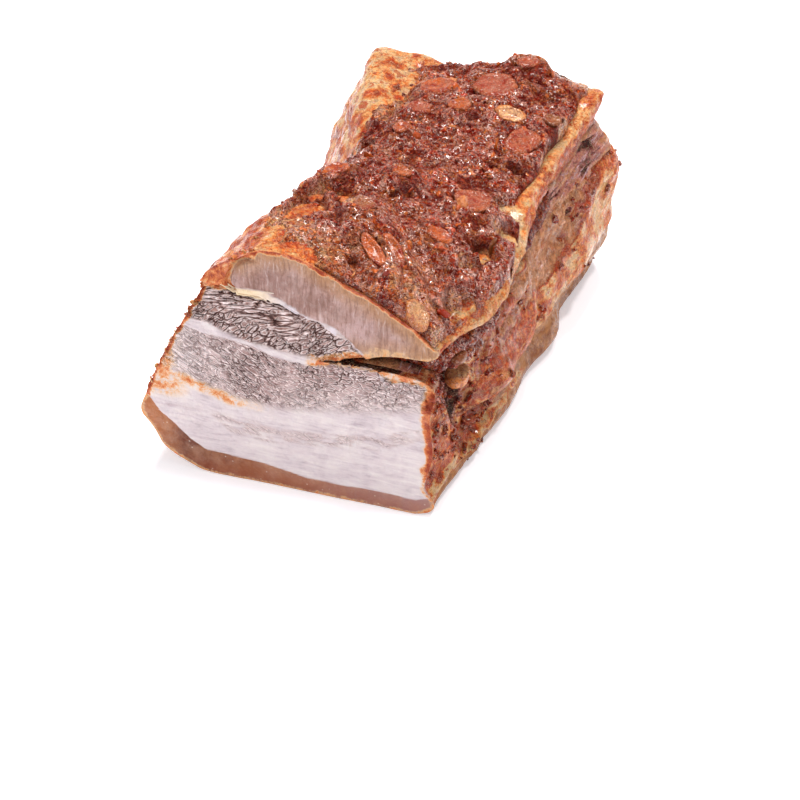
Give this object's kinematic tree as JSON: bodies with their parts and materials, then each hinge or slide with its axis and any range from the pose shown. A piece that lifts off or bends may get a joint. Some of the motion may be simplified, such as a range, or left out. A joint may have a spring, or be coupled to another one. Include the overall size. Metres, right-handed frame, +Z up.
{
  "type": "spiced pork belly bacon slab",
  "caption": "Slab of baked pork belly bacon, cut across at the front, rind side down, with a slit in one side and a chunky red spice paste on top.",
  "frame": {"origin": "middle of the underside of the object's box, on the surface it lies on", "axes": "+Y from the cut face to the back, along the slab; +Z up, out of the paste-coated top; +X towards the side with the slit"},
  "size_m": [0.0884, 0.1296, 0.0759],
  "materials": {
    "pork_belly": "cooked belly: grey-mauve lean, white fat and brown rind on the cut, stained orange outside, moist",
    "spice_paste": "dark red-brown grainy paste with a wet, oily gloss",
    "garlic": "cooked garlic, ochre to cream, glazed with red oil"
  },
  "bodies": {
    "root": {"belly_slab": "pork_belly", "paste_coat": "spice_paste", "paste_filling": "spice_paste", "garlic_slice_01": "garlic", "garlic_slice_02": "garlic", "garlic_slice_03": "garlic", "garlic_slice_04": "garlic", "garlic_slice_05": "garlic", "garlic_slice_06": "garlic", "garlic_slice_07": "garlic", "garlic_slice_08": "garlic", "garlic_slice_09": "garlic", "garlic_slice_10": "garlic", "garlic_slice_11": "garlic", "garlic_slice_12": "garlic", "garlic_slice_13": "garlic", "garlic_slice_14": "garlic", "garlic_slice_15": "garlic", "garlic_slice_16": "garlic", "garlic_slice_17": "garlic", "garlic_chunk_01": "garlic", "garlic_chunk_02": "garlic"}
  },
  "joints": []
}
